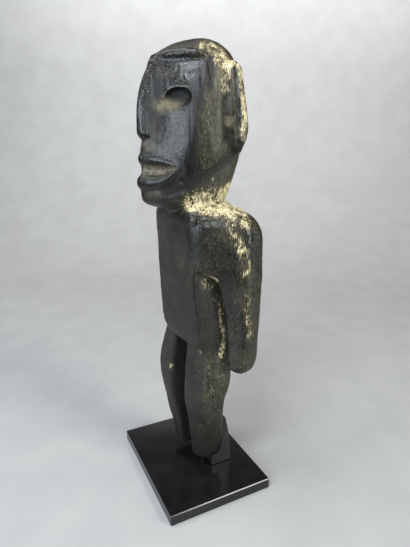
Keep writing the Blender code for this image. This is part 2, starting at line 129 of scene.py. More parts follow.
def paint_black(name, base, dust, gloss, pits):
    """Sprayed black: settled dust and fine pits. Gloss is the least roughness, pits a depth in metres."""
    material, shader, place = new_finish(name)
    link = material.node_tree.links.new
    clouds = grain(place, 0.020, detail=4.0)
    specks = grain(place, 0.0011, detail=1.0)
    settled = clouds.rise(0.40, 0.70) * 0.6 + specks.rise(0.68, 0.76) * 0.4
    link(settled.blend((*base, 1.0), (*dust, 1.0)).socket, shader.inputs["Base Color"])
    link((clouds * 0.16 + specks * 0.05 + gloss).socket, shader.inputs["Roughness"])
    sockets = {"Height": grain(place, 0.0013), "Strength": 0.30, "Distance": pits}
    bump = place.node("ShaderNodeBump", {}, sockets)
    link(bump.socket, shader.inputs["Normal"])
    shader.inputs["IOR"].default_value = PAINT_IOR
    return material


PAINT_IOR = 1.50
PLATE_BLACK = (0.0050, 0.0052, 0.0058)
PLATE_DUST = (0.013, 0.013, 0.014)
PLATE_GLOSS = 0.05
PLATE_PITS = 0.00003
PLATE_CHAMFER = 0.0005


def chamfered_plate():
    """The plate again, to its solid's size, with finely chamfered edges that catch the light."""
    low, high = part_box("base_plate")
    bm = bmesh.new()
    middle = Matrix.Translation((low + high) / 2.0)
    bmesh.ops.create_cube(bm, size=1.0, matrix=middle @ Matrix.Diagonal((*(high - low), 1.0)))
    mesh = bpy.data.meshes.new("chamfered_plate")
    bm.to_mesh(mesh)
    bm.free()
    plate = bpy.data.objects.new("chamfered_plate", mesh)
    bpy.context.scene.collection.objects.link(plate)
    edge = plate.modifiers.new("eased edges", "BEVEL")
    edge.width = PLATE_CHAMFER
    paint = paint_black("satin black plate paint", PLATE_BLACK, PLATE_DUST, PLATE_GLOSS, PLATE_PITS)
    mesh.materials.append(paint)
    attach(plate, "root")
    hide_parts("base_plate")


chamfered_plate()


# The block: a small tapered upright of the same black metal, standing on the plate under the idol's
# left heel. It is filed to fit the heel and the back of the calf, and painted a little more matt.

BLOCK_BLACK = (0.011, 0.012, 0.0125)
BLOCK_DUST = (0.030, 0.031, 0.030)
BLOCK_GLOSS = 0.26
BLOCK_PITS = 0.00006
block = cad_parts["support_block"]
block.data.materials.clear()
block.data.materials.append(
    paint_black("matt black block paint", BLOCK_BLACK, BLOCK_DUST, BLOCK_GLOSS, BLOCK_PITS)
)


# The idol: one stone, pecked and ground to shape and then polished. Its forms are lofts that are
# fused into one skin, with the eyes, ears, mouth and arm slits cut out of it. All its sizes are in
# parts of its own height, 293.8 from soles to crown, in its own frame: x to its left, y to its back.

CANON = 293.8
SOLE_WEAR = 1.2     # how far the worn feet reach below the soles
CROWN_WEAR = 0.1    # how far the worn skull falls short of the crown
IDOL_PLACE = (0.0011, -0.0012)
IDOL_TURN = math.radians(3.0)
idol_low, idol_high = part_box("idol")
PART = (idol_high.z - idol_low.z) / (CANON + SOLE_WEAR - CROWN_WEAR)
IDOL_STAND = idol_low.z + SOLE_WEAR * PART
TO_PLACE = (
    Matrix.Translation((*IDOL_PLACE, IDOL_STAND))
    @ Matrix.Rotation(IDOL_TURN, 4, "Z")
    @ Matrix.Scale(PART, 4)
)


def whole_plan(half):
    """Mirrors half a plan, given from front centre to back centre, into a closed one."""
    left = [(-x, y) for x, y in reversed(half[1:-1])]
    return list(half) + left


def rounded(plan, cuts, share):
    """Cuts the corners of a closed plan, so that its edges are worn round."""
    points = np.array(plan, float)
    for _ in range(cuts):
        after = np.roll(points, -1, axis=0)
        start = points + (after - points) * share
        stop = after - (after - points) * share
        points = np.stack([start, stop], axis=1).reshape(-1, points.shape[1])
    return points


def between(before, here, there, after, t):
    """Catmull-Rom value between two stations."""
    return 0.5 * (
        2.0 * here
        + (there - before) * t
        + (2.0 * before - 5.0 * here + 4.0 * there - after) * t ** 2
        + (3.0 * here - before - 3.0 * there + after) * t ** 3
    )


def smooth_stations(stations, steps):
    """Fills in rings between stations of equal point counts, on a smooth curve."""
    rings = []
    last = len(stations) - 1
    for i in range(last):
        four = [stations[max(i - 1, 0)], stations[i], stations[i + 1], stations[min(i + 2, last)]]
        rings += [between(*four, step / steps) for step in range(steps)]
    rings.append(stations[last])
    return rings


def loft(bm, rings):
    """Bridges closed rings of points, and fills both ends. Each ring's edges keep one order, so that
    every run gives the same mesh.
    """
    loops = []
    for ring in rings:
        circle = bmesh.ops.create_circle(bm, segments=len(ring), radius=1.0)
        for vert, point in zip(circle["verts"], ring):
            vert.co = Vector(point)
        touching = [edge for vert in circle["verts"] for edge in vert.link_edges]
        loops.append(list(dict.fromkeys(touching)))
    for lower, upper in zip(loops, loops[1:]):
        bmesh.ops.bridge_loops(bm, edges=lower + upper)
    bmesh.ops.edgeloop_fill(bm, edges=loops[0])
    bmesh.ops.edgeloop_fill(bm, edges=loops[-1])


def plan_loft(bm, stations, cuts=2, share=0.2, steps=6):
    """Lofts plans given as (height, closed plan)."""
    rings = []
    for height, plan in stations:
        outline = rounded(plan, cuts, share)
        rings.append(np.column_stack([outline, np.full(len(outline), float(height))]))
    loft(bm, smooth_stations(rings, steps))


def corner_loft(bm, stations, share, cuts=2, side=1):
    """Lofts stations of (height, corner, corner, ...). A side of -1 mirrors them."""
    solid = [(height, [(side * x, y) for x, y in corners]) for height, *corners in stations]
    plan_loft(bm, solid, cuts, share)


def bar_loft(bm, path, radii, upright=False, sides=20, steps=6):
    """Lofts a bar of elliptic section along a path: radii are (in and out, along the surface)."""
    level = (0.0, 1.0, 0.0) if upright else (0.0, 0.0, 1.0)
    points = [np.array(p, float) for p in path]
    stations = []
    for i, point in enumerate(points):
        run = points[min(i + 1, len(points) - 1)] - points[max(i - 1, 0)]
        run /= np.linalg.norm(run)
        across = np.cross(run, level)
        across /= np.linalg.norm(across)
        up = np.cross(across, run)
        ring = []
        for side in range(sides):
            angle = 2.0 * math.pi * side / sides
            reach = across * math.cos(angle) * radii[i][0] + up * math.sin(angle) * radii[i][1]
            ring.append(point + reach)
        stations.append(np.array(ring))
    loft(bm, smooth_stations(stations, steps))


def ball(bm, centre, radii, turn, under):
    """Adds an ellipsoid turned about the upright. Its depth runs in by under for each part it rises."""
    slope = Matrix.Identity(4)
    slope[1][2] = under
    place = (
        Matrix.Translation(centre)
        @ Matrix.Rotation(turn, 4, "Z")
        @ slope
        @ Matrix.Diagonal((*radii, 1.0))
    )
    bmesh.ops.create_uvsphere(bm, u_segments=40, v_segments=26, radius=1.0, matrix=place)


# Torso: flat front, worn corners, rounder back, ending below in a shallow V over the thighs.

HEM_BACK = 86.0
HEM_TOP = 108.0


def torso_hem(x, y):
    """Height of the torso's lower edge: a shallow V in front, lower round the sides and back."""
    front = 95.6 + 3.4 * (abs(x) / 30.0) ** 2
    to_back = min(max((y + 11.0) / 11.0, 0.0), 1.0)
    return front + (HEM_BACK - front) * to_back * to_back * (3.0 - 2.0 * to_back)


def add_torso(bm):
    """Levels are height, half width, front, back, and the share worn off the front corners."""
    levels = [
        (86.0, 27.6, -10.2, 18.0, 0.09), (92.0, 28.6, -11.4, 20.0, 0.09), (101.0, 29.2, -12.0, 21.4, 0.09),
        (115.0, 28.4, -12.8, 22.6, 0.06), (130.0, 27.2, -13.8, 23.8, 0.03), (147.0, 26.6, -14.9, 24.8, 0.02),
        (162.0, 27.4, -15.8, 25.6, 0.05), (178.0, 28.8, -16.8, 26.2, 0.09), (187.0, 28.6, -17.0, 25.6, 0.09),
        (191.5, 26.6, -14.4, 23.5, 0.09), (195.0, 22.0, -9.0, 20.0, 0.09), (197.5, 15.0, -4.0, 15.0, 0.09),
    ]
    stations = []
    for height, half_width, front, back, worn in levels:
        depth = back - front
        half = [
            (0.0, front - 0.6),
            (half_width * (1.0 - 1.33 * worn), front),
            (half_width + 5.5 * worn, front + depth * worn),
            (half_width, front + depth * 0.62),
            (half_width * 0.80, back - depth * 0.08),
            (half_width * 0.40, back),
            (0.0, back - 0.8),
        ]
        stations.append((height, whole_plan(half)))
    before = set(bm.verts)
    plan_loft(bm, stations, share=0.16)
    for vert in set(bm.verts) - before:
        hem = torso_hem(vert.co.x, vert.co.y)
        if vert.co.z < HEM_TOP:
            vert.co.z = hem + (vert.co.z - HEM_BACK) * (HEM_TOP - hem) / (HEM_TOP - HEM_BACK)


# Arms: flat paddles with a ridge down the outer side, no hands, blended into sloping shoulders.

def add_arm(bm, side):
    stations = [
        (77.0, (35.6, 19.0), (37.6, 16.6), (39.8, 18.0), (39.2, 23.0), (37.0, 23.5)),
        (80.0, (33.4, 14.0), (35.6, 10.8), (42.6, 16.2), (40.8, 27.4), (35.2, 27.4)),
        (88.0, (32.6, 12.0), (34.2, 8.8), (44.4, 16.0), (41.6, 30.2), (34.4, 29.6)),
        (100.0, (32.4, 12.0), (33.8, 8.8), (45.0, 16.0), (41.8, 30.6), (34.2, 30.0)),
        (116.0, (32.0, 10.6), (33.6, 7.2), (45.2, 15.8), (41.9, 31.0), (34.0, 30.4)),
        (130.0, (31.4, 8.0), (33.2, 4.8), (45.4, 15.6), (42.0, 31.4), (33.4, 30.6)),
        (140.0, (30.4, 5.4), (32.4, 2.0), (45.4, 15.4), (42.0, 31.6), (32.4, 30.6)),
        (146.0, (28.4, 3.0), (31.2, -1.6), (45.4, 15.2), (42.2, 32.0), (31.0, 30.5)),
        (150.0, (24.0, -4.0), (29.8, -9.6), (45.4, 15.0), (42.2, 32.0), (28.0, 30.0)),
        (153.0, (20.0, -13.0), (28.8, -14.2), (45.4, 14.8), (42.2, 31.9), (26.0, 29.5)),
        (162.0, (20.0, -14.4), (28.6, -15.0), (45.4, 14.4), (42.2, 31.8), (24.0, 29.0)),
        (173.0, (20.0, -15.2), (28.9, -15.4), (45.2, 13.8), (42.0, 31.6), (22.0, 28.0)),
        (181.0, (19.0, -15.2), (28.7, -15.0), (44.0, 12.4), (40.8, 29.2), (20.0, 27.0)),
        (187.0, (18.0, -13.4), (27.6, -12.6), (41.0, 10.6), (37.4, 25.6), (16.0, 24.5)),
        (191.5, (14.0, -8.0), (22.4, -7.0), (34.8, 8.8), (31.4, 19.6), (12.0, 20.0)),
        (195.0, (8.0, -1.0), (13.0, 0.0), (24.0, 8.0), (22.0, 14.0), (8.0, 15.0)),
    ]
    corner_loft(bm, stations, share=0.15, side=side)


# Legs: faceted, bent forward at the knee and tapering to plain stumps of feet.

def add_left_leg(bm):
    stations = [
        (-1.2, (6.6, -3.6), (13.6, -1.8), (18.4, 3.4), (17.6, 13.0), (9.0, 14.8), (5.8, 8.0)),
        (3.0, (7.4, -4.6), (15.0, -2.2), (19.8, 4.2), (19.6, 13.4), (10.0, 15.4), (6.2, 8.0)),
        (12.0, (8.6, -6.2), (16.4, -2.6), (21.4, 4.0), (21.2, 15.2), (11.0, 16.8), (7.0, 8.0)),
        (21.0, (9.6, -7.8), (17.6, -4.0), (23.4, 2.2), (22.6, 15.4), (12.0, 16.6), (7.6, 6.0)),
        (34.0, (10.0, -9.8), (19.0, -6.6), (26.8, -1.4), (25.6, 13.4), (13.0, 16.0), (7.8, 4.0)),
        (45.0, (10.0, -11.6), (20.0, -9.2), (29.2, -4.6), (28.6, 11.6), (14.0, 15.6), (7.8, 3.0)),
        (54.0, (9.8, -12.8), (20.6, -10.6), (30.6, -6.0), (30.6, 11.6), (14.0, 17.4), (7.6, 3.0)),
        (63.0, (9.6, -12.6), (20.8, -10.6), (31.2, -6.0), (31.6, 14.2), (14.0, 20.0), (7.4, 4.0)),
        (73.0, (9.6, -12.0), (20.4, -9.8), (30.8, -5.0), (31.8, 15.4), (14.0, 21.4), (7.4, 4.0)),
        (86.0, (9.6, -11.0), (19.8, -8.6), (29.6, -3.8), (30.6, 15.6), (14.0, 21.6), (7.4, 4.0)),
        (104.0, (8.0, -9.0), (17.6, -7.0), (26.0, -3.0), (26.0, 14.0), (14.0, 19.0), (6.0, 4.0)),
    ]
    corner_loft(bm, stations, share=0.13)


def add_right_leg(bm):
    stations = [
        (-1.2, (-6.8, -2.8), (-12.6, -4.2), (-21.6, -3.6), (-21.2, 11.0), (-9.0, 14.0), (-5.8, 7.0)),
        (3.0, (-7.6, -4.4), (-13.6, -5.2), (-22.4, -4.6), (-22.4, 12.4), (-10.0, 15.0), (-6.2, 7.0)),
        (14.0, (-8.2, -5.8), (-15.0, -6.6), (-23.4, -6.2), (-23.6, 14.2), (-11.0, 16.6), (-7.0, 7.0)),
        (24.0, (-9.6, -7.2), (-17.0, -8.4), (-25.6, -8.8), (-25.4, 14.8), (-12.0, 16.6), (-7.6, 6.0)),
        (36.0, (-10.8, -9.6), (-19.0, -10.4), (-29.0, -9.8), (-28.6, 13.6), (-13.0, 16.0), (-7.8, 4.0)),
        (45.0, (-11.2, -11.4), (-20.6, -12.2), (-31.0, -11.0), (-31.0, 12.0), (-14.0, 15.6), (-7.8, 3.0)),
        (54.0, (-11.4, -12.6), (-21.4, -13.4), (-32.4, -12.2), (-32.6, 12.0), (-14.0, 17.4), (-7.6, 3.0)),
        (65.0, (-11.4, -12.6), (-21.8, -13.4), (-33.0, -12.8), (-33.2, 14.4), (-14.0, 20.0), (-7.6, 4.0)),
        (75.0, (-11.2, -12.0), (-21.6, -12.6), (-32.4, -11.8), (-32.8, 15.4), (-14.0, 21.4), (-7.6, 4.0)),
        (86.0, (-10.6, -10.6), (-20.6, -11.0), (-30.8, -9.8), (-31.0, 15.6), (-14.0, 21.6), (-7.6, 4.0)),
        (104.0, (-8.0, -9.0), (-17.6, -8.4), (-26.0, -7.0), (-26.0, 14.0), (-14.0, 19.0), (-6.0, 4.0)),
    ]
    corner_loft(bm, stations, share=0.13)


# Head: a face keeled along the nose, flat sides, and a high round skull.

def add_skull(bm):
    stations = [
        (186.0, (0.0, -10.0), (11.0, -9.0), (18.0, -4.0), (22.0, 4.0), (16.0, 14.5), (0.0, 18.0)),
        (190.5, (0.0, -25.0), (8.0, -20.0), (15.0, -11.0), (22.0, 1.0), (17.0, 14.5), (0.0, 18.4)),
        (193.5, (0.0, -34.4), (9.6, -27.2), (17.0, -14.5), (22.4, 0.0), (17.6, 15.0), (0.0, 19.2)),
        (197.0, (0.0, -38.0), (11.2, -29.8), (19.2, -16.4), (23.0, 0.0), (18.4, 15.8), (0.0, 20.4)),
        (205.0, (0.0, -38.4), (12.0, -30.2), (21.6, -17.0), (24.4, 0.0), (20.6, 17.8), (0.0, 23.4)),
        (216.0, (0.0, -38.4), (12.6, -29.4), (24.2, -16.8), (26.4, 0.0), (23.6, 20.0), (0.0, 26.8)),
        (228.0, (0.0, -38.2), (13.2, -28.8), (27.0, -16.2), (29.2, 0.0), (26.6, 22.0), (0.0, 29.0)),
        (236.0, (0.0, -35.8), (13.6, -27.8), (28.2, -15.6), (30.4, 1.0), (26.8, 21.8), (0.0, 29.6)),
        (246.0, (0.0, -33.6), (13.8, -27.4), (28.8, -15.2), (31.0, 2.0), (26.6, 21.2), (0.0, 29.8)),
        (256.0, (0.0, -33.6), (14.0, -26.6), (28.8, -13.4), (31.2, 2.8), (26.4, 20.4), (0.0, 29.4)),
        (266.0, (0.0, -34.0), (14.4, -25.2), (28.8, -9.2), (31.0, 3.0), (26.0, 19.8), (0.0, 28.8)),
        (273.0, (0.0, -33.4), (14.4, -22.8), (28.2, -5.6), (30.2, 3.2), (25.2, 18.8), (0.0, 27.6)),
        (279.0, (0.0, -31.8), (14.2, -20.4), (26.2, -4.4), (28.0, 3.2), (23.4, 17.4), (0.0, 25.8)),
        (284.6, (0.0, -24.8), (13.0, -17.0), (22.0, -4.6), (24.4, 2.8), (20.4, 15.8), (0.0, 23.0)),
        (290.0, (0.0, -15.4), (9.6, -10.2), (15.8, -2.8), (17.8, 2.8), (14.4, 12.6), (0.0, 18.0)),
        (292.9, (0.0, -6.4), (5.6, -4.0), (9.8, 0.0), (11.0, 3.2), (8.8, 9.2), (0.0, 12.8)),
        (293.8, (0.0, 0.6), (2.0, 1.2), (3.0, 2.4), (3.6, 3.8), (3.0, 6.6), (0.0, 8.0)),
    ]
    solid = [(height, whole_plan(half)) for height, *half in stations]
    plan_loft(bm, solid, cuts=2, share=0.15)


def add_nose(bm):
    stations = [
        (233.4, (0.0, -36.8), (4.0, -34.4), (6.2, -28.0), (0.0, -18.0)),
        (235.2, (0.0, -38.4), (3.2, -37.2), (8.2, -30.2), (0.0, -18.0)),
        (238.5, (0.0, -39.8), (3.0, -38.2), (8.2, -30.0), (0.0, -18.0)),
        (246.0, (0.0, -39.8), (2.6, -38.0), (7.4, -29.8), (0.0, -18.0)),
        (256.0, (0.0, -39.0), (2.4, -37.2), (6.8, -29.4), (0.0, -18.0)),
        (265.0, (0.0, -36.8), (2.6, -35.0), (6.6, -28.4), (0.0, -18.0)),
        (272.0, (0.0, -33.8), (3.0, -31.8), (7.0, -25.8), (0.0, -16.0)),
        (278.0, (0.0, -30.2), (3.2, -27.8), (7.0, -22.6), (0.0, -14.0)),
    ]
    solid = [(height, whole_plan(half)) for height, *half in stations]
    plan_loft(bm, solid, cuts=2, share=0.15)


def both_ways(half):
    """Mirrors a path that starts on the centre plane, so that it runs from right to left."""
    return [(-x, y, z) for x, y, z in half[:0:-1]] + list(half)


def add_lips(bm):
    """Two thick lips that wrap the keel of the face and meet at the corners of the mouth."""
    upper = [
        (0.0, -36.6, 221.6), (4.0, -34.4, 221.5), (10.0, -30.0, 220.8), (15.5, -25.6, 219.4),
        (21.0, -20.8, 216.8),
    ]
    upper_size = [(2.4, 3.4), (2.4, 3.3), (2.0, 3.0), (1.5, 2.2), (0.8, 0.8)]
    bar_loft(bm, both_ways(upper), upper_size[:0:-1] + upper_size)
    lower = [
        (0.0, -35.8, 207.4), (4.0, -34.0, 207.3), (10.0, -29.9, 207.8), (15.0, -26.2, 210.2),
        (18.2, -23.4, 213.2), (21.0, -20.8, 216.4),
    ]
    lower_size = [(4.4, 5.0), (4.2, 4.8), (3.2, 3.8), (2.4, 2.8), (1.6, 1.8), (0.8, 0.8)]
    bar_loft(bm, both_ways(lower), lower_size[:0:-1] + lower_size)


def add_brow_band(bm):
    """The low raised band that edges the skull above the forehead and dies out in front."""
    half = [
        (0.0, -27.6, 279.8), (9.0, -22.4, 280.9), (16.0, -15.4, 281.2), (21.0, -9.4, 281.0),
        (24.4, -5.4, 280.0),
    ]
    sizes = [(1.7, 2.6), (2.5, 3.0), (2.9, 3.1), (2.7, 2.8), (1.4, 1.6)]
    bar_loft(bm, both_ways(half), sizes[:0:-1] + sizes)


def add_ear(bm, side):
    """A long upright ear: a ramp that rises off the side of the head to a rim behind."""
    stations = [
        (226.0, (24.0, 12.0), (29.6, 15.6), (29.8, 18.4), (24.0, 19.6)),
        (230.0, (26.0, 7.0), (32.2, 13.8), (32.4, 19.0), (25.0, 20.8)),
        (234.0, (27.2, 1.5), (33.4, 12.4), (33.6, 19.8), (25.5, 22.0)),
        (240.0, (28.0, -1.0), (34.0, 12.0), (34.0, 20.8), (25.8, 23.2)),
        (247.0, (28.6, -2.0), (34.2, 11.6), (34.0, 20.0), (25.8, 23.0)),
        (257.0, (28.9, -2.0), (34.0, 10.8), (33.6, 18.2), (25.6, 22.0)),
        (268.0, (28.2, -1.6), (33.0, 10.0), (32.6, 16.4), (25.0, 20.6)),
        (275.0, (27.0, 0.5), (31.6, 9.8), (31.6, 15.6), (24.6, 19.4)),
        (279.0, (22.0, 8.6), (28.6, 10.2), (28.4, 13.4), (22.0, 15.0)),
    ]
    corner_loft(bm, stations, share=0.13, side=side)


# What is cut out of the stone: eye sockets, the ears' grooves and the slits inside the arms.

EYE_SLANT = math.radians(38.0)


def add_eye_socket(bm, side):
    """A pocket that runs in under its upper lid, with a shallow trough towards the nose."""
    pocket = ((20.0, -21.6, 255.6), (8.8, 4.8, 6.6), 0.50)
    trough = ((10.8, -29.6, 253.2), (6.8, 2.3, 3.6), 0.30)
    for (x, y, z), radii, under in (pocket, trough):
        ball(bm, (side * x, y, z), radii, side * EYE_SLANT, under)


def add_ear_groove(bm, side):
    """The deep line that parts the ear's rim from its flat front."""
    path = [
        (side * 32.6, 14.6, 229.0), (side * 34.2, 13.8, 236.0), (side * 34.6, 12.9, 247.0),
        (side * 34.0, 11.9, 260.0), (side * 31.8, 10.6, 274.5),
    ]
    bar_loft(bm, path, [(2.0, 1.2), (2.9, 1.4), (3.0, 1.4), (2.8, 1.4), (2.0, 1.2)], upright=True)


def add_temple_groove(bm, side):
    path = [(side * 29.6, -4.8, 265.0), (side * 28.9, -4.1, 272.0), (side * 27.0, -3.4, 279.5)]
    bar_loft(bm, path, [(1.0, 1.0), (2.0, 1.4), (2.2, 1.4)], upright=True)


def add_mouth_channel(bm):
    """The open mouth: a shallow lens between the lips."""
    half = [
        (0.0, -39.4, 215.4), (5.0, -35.9, 215.2), (11.0, -30.9, 214.9), (16.5, -26.4, 215.6),
        (21.4, -22.0, 216.8),
    ]
    sizes = [(2.4, 3.6), (2.4, 3.8), (2.4, 3.6), (1.8, 1.8), (0.8, 0.8)]
    bar_loft(bm, both_ways(half), sizes[:0:-1] + sizes)


def add_arm_slit(bm, side):
    stations = [
        (74.0, (30.4, -4.0), (33.6, -4.0), (34.4, 38.0), (30.8, 38.0)),
        (110.0, (29.6, -4.0), (32.6, -4.0), (33.4, 38.0), (30.2, 38.0)),
        (130.0, (28.8, -2.0), (31.8, -2.0), (32.4, 38.0), (29.6, 38.0)),
        (140.0, (28.4, 1.0), (30.9, 1.0), (31.4, 38.0), (29.0, 38.0)),
        (145.0, (28.8, 4.0), (30.2, 4.0), (30.6, 38.0), (29.2, 38.0)),
    ]
    corner_loft(bm, stations, share=0.2, cuts=1, side=side)


def add_heel_seat(bm):
    """What the block takes out of the left heel, in metres: the block's side view, grown a little."""
    low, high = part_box("support_block")
    front, behind = low.y - SEAT_GAP, high.y + SEAT_SPARE
    top = high.z + SEAT_SPARE
    sole, calf = IDOL_STAND + SEAT_GAP, IDOL_STAND + SEAT_RISE + SEAT_GAP
    outline = [
        (front, low.z), (behind, low.z), (behind, top), (front + SEAT_CALF, top),
        (front + SEAT_CALF, calf), (front + SEAT_HEEL, sole), (front, sole),
    ]
    cheek = bm.faces.new([bm.verts.new((low.x - SEAT_SPARE, y, z)) for y, z in outline])
    grown = bmesh.ops.extrude_face_region(bm, geom=[cheek])
    far = [v for v in grown["geom"] if isinstance(v, bmesh.types.BMVert)]
    bmesh.ops.translate(bm, vec=(high.x - low.x + 2.0 * SEAT_SPARE, 0.0, 0.0), verts=far)


def carved_stone():
    """The idol's skin as one closed mesh, near its final count of faces."""
    solid = bmesh.new()
    add_torso(solid)
    add_left_leg(solid)
    add_right_leg(solid)
    add_skull(solid)
    add_nose(solid)
    add_lips(solid)
    add_brow_band(solid)
    cuts = bmesh.new()
    for side in (-1, 1):
        add_arm(solid, side)
        add_ear(solid, side)
        add_eye_socket(cuts, side)
        add_ear_groove(cuts, side)
        add_temple_groove(cuts, side)
        add_arm_slit(cuts, side)
    add_mouth_channel(cuts)
    for bm in (solid, cuts):
        bmesh.ops.transform(bm, matrix=TO_PLACE, verts=bm.verts)
    add_heel_seat(cuts)
    made = []
    for name, bm in (("idol_forms", solid), ("idol_cuts", cuts)):
        bmesh.ops.recalc_face_normals(bm, faces=bm.faces)
        mesh = bpy.data.meshes.new(name)
        bm.to_mesh(mesh)
        bm.free()
        thing = bpy.data.objects.new(name, mesh)
        bpy.context.scene.collection.objects.link(thing)
        made.append(thing)
    forms, cutter = made
    carve = forms.modifiers.new("carving", "BOOLEAN")
    carve.operation = "DIFFERENCE"
    carve.object = cutter
    carve.solver = "EXACT"
    carve.use_self = True
    fuse = forms.modifiers.new("one stone", "REMESH")
    fuse.mode = "VOXEL"
    fuse.voxel_size = FINE_VOXEL
    wear = forms.modifiers.new("polish", "SMOOTH")
    wear.factor = 0.5
    wear.iterations = POLISH_ROUNDS
    thin = forms.modifiers.new("thin", "DECIMATE")
    thin.ratio = THIN_RATIO
    depsgraph = bpy.context.evaluated_depsgraph_get()
    skin = bpy.data.meshes.new_from_object(forms.evaluated_get(depsgraph), depsgraph=depsgraph)
    for thing in made:
        bpy.data.objects.remove(thing, do_unlink=True)
    return skin


SEAT_HEEL = 0.0053
SEAT_CALF = 0.0086
SEAT_RISE = 0.0109
SEAT_GAP = 0.0004
SEAT_SPARE = 0.003
FINE_VOXEL = 0.00075
POLISH_ROUNDS = 4
THIN_RATIO = 0.60
skin = carved_stone()
for face in skin.polygons:
    face.use_smooth = True


# The idol's skin: what the carver's strokes, long handling and burial left on it, and painted shade in its
# creases, undercuts and shaded planes. These are worked out point by point over the finished form, as fine
# relief and as named amounts for the finish.

def column(kind, collection):
    """One vector of each vertex, as rows."""
    values = np.empty(len(collection) * 3)
    collection.foreach_get(kind, values)
    return values.reshape(-1, 3)


def smooth(values, low, high):
    """0 at low, 1 at high, smooth between. High may lie below low."""
    share = np.clip((values - low) / (high - low), 0.0, 1.0)
    return share * share * (3.0 - 2.0 * share)


def stroke(points, path, width):
    """1 along a path, fading to 0 at its width on either side."""
    nearest = np.full(len(points), np.inf)
    for start, stop in zip(path, path[1:]):
        start = np.array(start, float)
        run = np.array(stop, float) - start
        share = np.clip((points - start) @ run / (run @ run), 0.0, 1.0)
        away = np.linalg.norm(points - start - share[:, None] * run, axis=1)
        nearest = np.minimum(nearest, away)
    return smooth(nearest, width, width * 0.25)


def patch(points, centre, reach):
    """1 at a centre, fading to 0 at a reach that may differ along x, y and z."""
    away = np.linalg.norm((points - np.array(centre)) / np.array(reach), axis=1)
    return smooth(away, 1.0, 0.25)


def waves(points, size):
    """Smooth noise from about -0.6 to 0.6, with its own size along x, y and z, in parts."""
    scaled = points / np.array(size)
    return np.array([noise.noise(Vector(p)) for p in scaled])


def hollowness(points, normals, edges, rounds):
    """How far the stone lies below the mean of its neighbourhood, in parts. Ridges are negative."""
    count = len(points)
    a, b = edges[:, 0], edges[:, 1]
    shares = (np.bincount(a, minlength=count) + np.bincount(b, minlength=count))[:, None]
    mean = points.copy()
    for _ in range(rounds):
        total = np.empty_like(mean)
        for axis in range(3):
            total[:, axis] = np.bincount(a, mean[b, axis], count) + np.bincount(b, mean[a, axis], count)
        mean = total / shares
    return np.einsum("ij,ij->i", mean - points, normals)


placed = column("co", skin.vertices)
facing = column("vector", skin.vertex_normals)
frame_turn = np.array(TO_PLACE.to_3x3()) / PART
stone = (placed - np.array(TO_PLACE.translation)) @ frame_turn / PART
facing = facing @ frame_turn
mirrored = stone.copy()
mirrored[:, 0] = np.abs(stone[:, 0])
outward_x = np.abs(facing[:, 0])

# Fine relief, in parts: an uneven hand-ground skin, upright scrapes down the sides of the head, hollows
# under the brow band and along the jaw, and the forehead's corners worn soft.
head_side = smooth(outward_x, 0.55, 0.85) * smooth(stone[:, 2], 212.0, 226.0)
scrapes = waves(stone, (2.2, 1.5, 26.0))
relief = 0.30 * waves(stone, (13.0, 13.0, 17.0)) + 0.10 * waves(stone, (4.0, 4.0, 5.0))
relief += head_side * 0.34 * scrapes
relief += (1.0 - head_side) * 0.10 * waves(stone, (2.0, 2.0, 2.4))
under_band = [(10, -25.6, 274.0), (17, -18.4, 274.6), (23, -11.0, 274.8), (27, -5.0, 274.2)]
relief -= 0.50 * stroke(mirrored, under_band, 6.5)
jaw = [(32, 16, 231), (27.4, 12, 222), (26, 0, 214), (21.8, -16.4, 206.5), (14.4, -26.4, 201.5)]
relief -= 0.6 * stroke(mirrored, jaw, 5.5)
forehead_corner = [(14.4, -26.2, 260.0), (14.4, -25.2, 266.0), (14.4, -22.8, 273.0)]
relief -= 0.45 * stroke(mirrored, forehead_corner, 9.0)
placed += (facing @ frame_turn.T) * (relief * PART)[:, None]
skin.vertices.foreach_set("co", placed.ravel())
skin.update()

edge_ends = np.empty(len(skin.edges) * 2, int)
skin.edges.foreach_get("vertices", edge_ends)
edge_ends = edge_ends.reshape(-1, 2)
fine_hollow = hollowness(stone, facing, edge_ends, 6)
broad_hollow = hollowness(stone, facing, edge_ends, 90)

# Measures that several amounts share.
x, y, z = mirrored.T
outer_side = facing[:, 0] * np.sign(stone[:, 0])
front_of_head = smooth(-facing[:, 1] * 0.85 + outward_x * 0.5, 0.50, 0.85) * smooth(z, 200.0, 216.0)
blotch = 0.5 + waves(stone, (5.0, 5.0, 7.0))
brow_band = stroke(mirrored, [(4, -28, 281), (11, -23, 281), (18, -15, 281), (24, -7, 280.5)], 4.5)

# Pale deposits, as an amount that the finish breaks up into flecks and strokes.
neck = smooth(z, 186.0, 193.0) * smooth(z, 211.0 + y * 0.1, 198.0 + y * 0.1) * smooth(y, -27.0, -6.0)
neck *= smooth(x, 9.0, 19.0) + smooth(y, 5.0, 12.0)
shoulder = stroke(mirrored, [(22, -8, 193), (33, 1, 189), (38, 9, 187), (41, 15, 184)], 9.5)
arm_front = stroke(mirrored, [(40, 4, 178), (42.4, 9, 172), (44, 13, 164), (44.4, 15.4, 152)], 7.0)
crown = 0.7 * patch(mirrored, (21.0, -1.0, 285.0), (13.0, 17.0, 12.0))
crown += 0.7 * patch(mirrored, (27.0, 6.0, 277.5), (8.0, 10.0, 9.0))
behind_temple = stroke(mirrored, [(28, 8, 280), (29.4, 5, 272), (30.6, 4, 262)], 5.0)
ear_rim_path = [(31.6, 14.6, 274), (33.6, 16.6, 258), (34, 17.6, 248), (33.6, 18.2, 236)]
ear_rim = stroke(mirrored, ear_rim_path, 5.0)
slit_edge = stroke(mirrored, [(28, 7.5, 125), (28.4, 8.6, 110), (28.3, 9.8, 98), (29.2, 7, 90)], 4.2)
recess_flecks = stroke(mirrored, [(27.6, -5, 143), (27.8, 1, 138), (27.8, 5.5, 130)], 8.0)
recess_roof = stroke(mirrored, [(27.6, -10, 148.4), (31, -6, 150), (32.4, 0.7, 146)], 3.0)
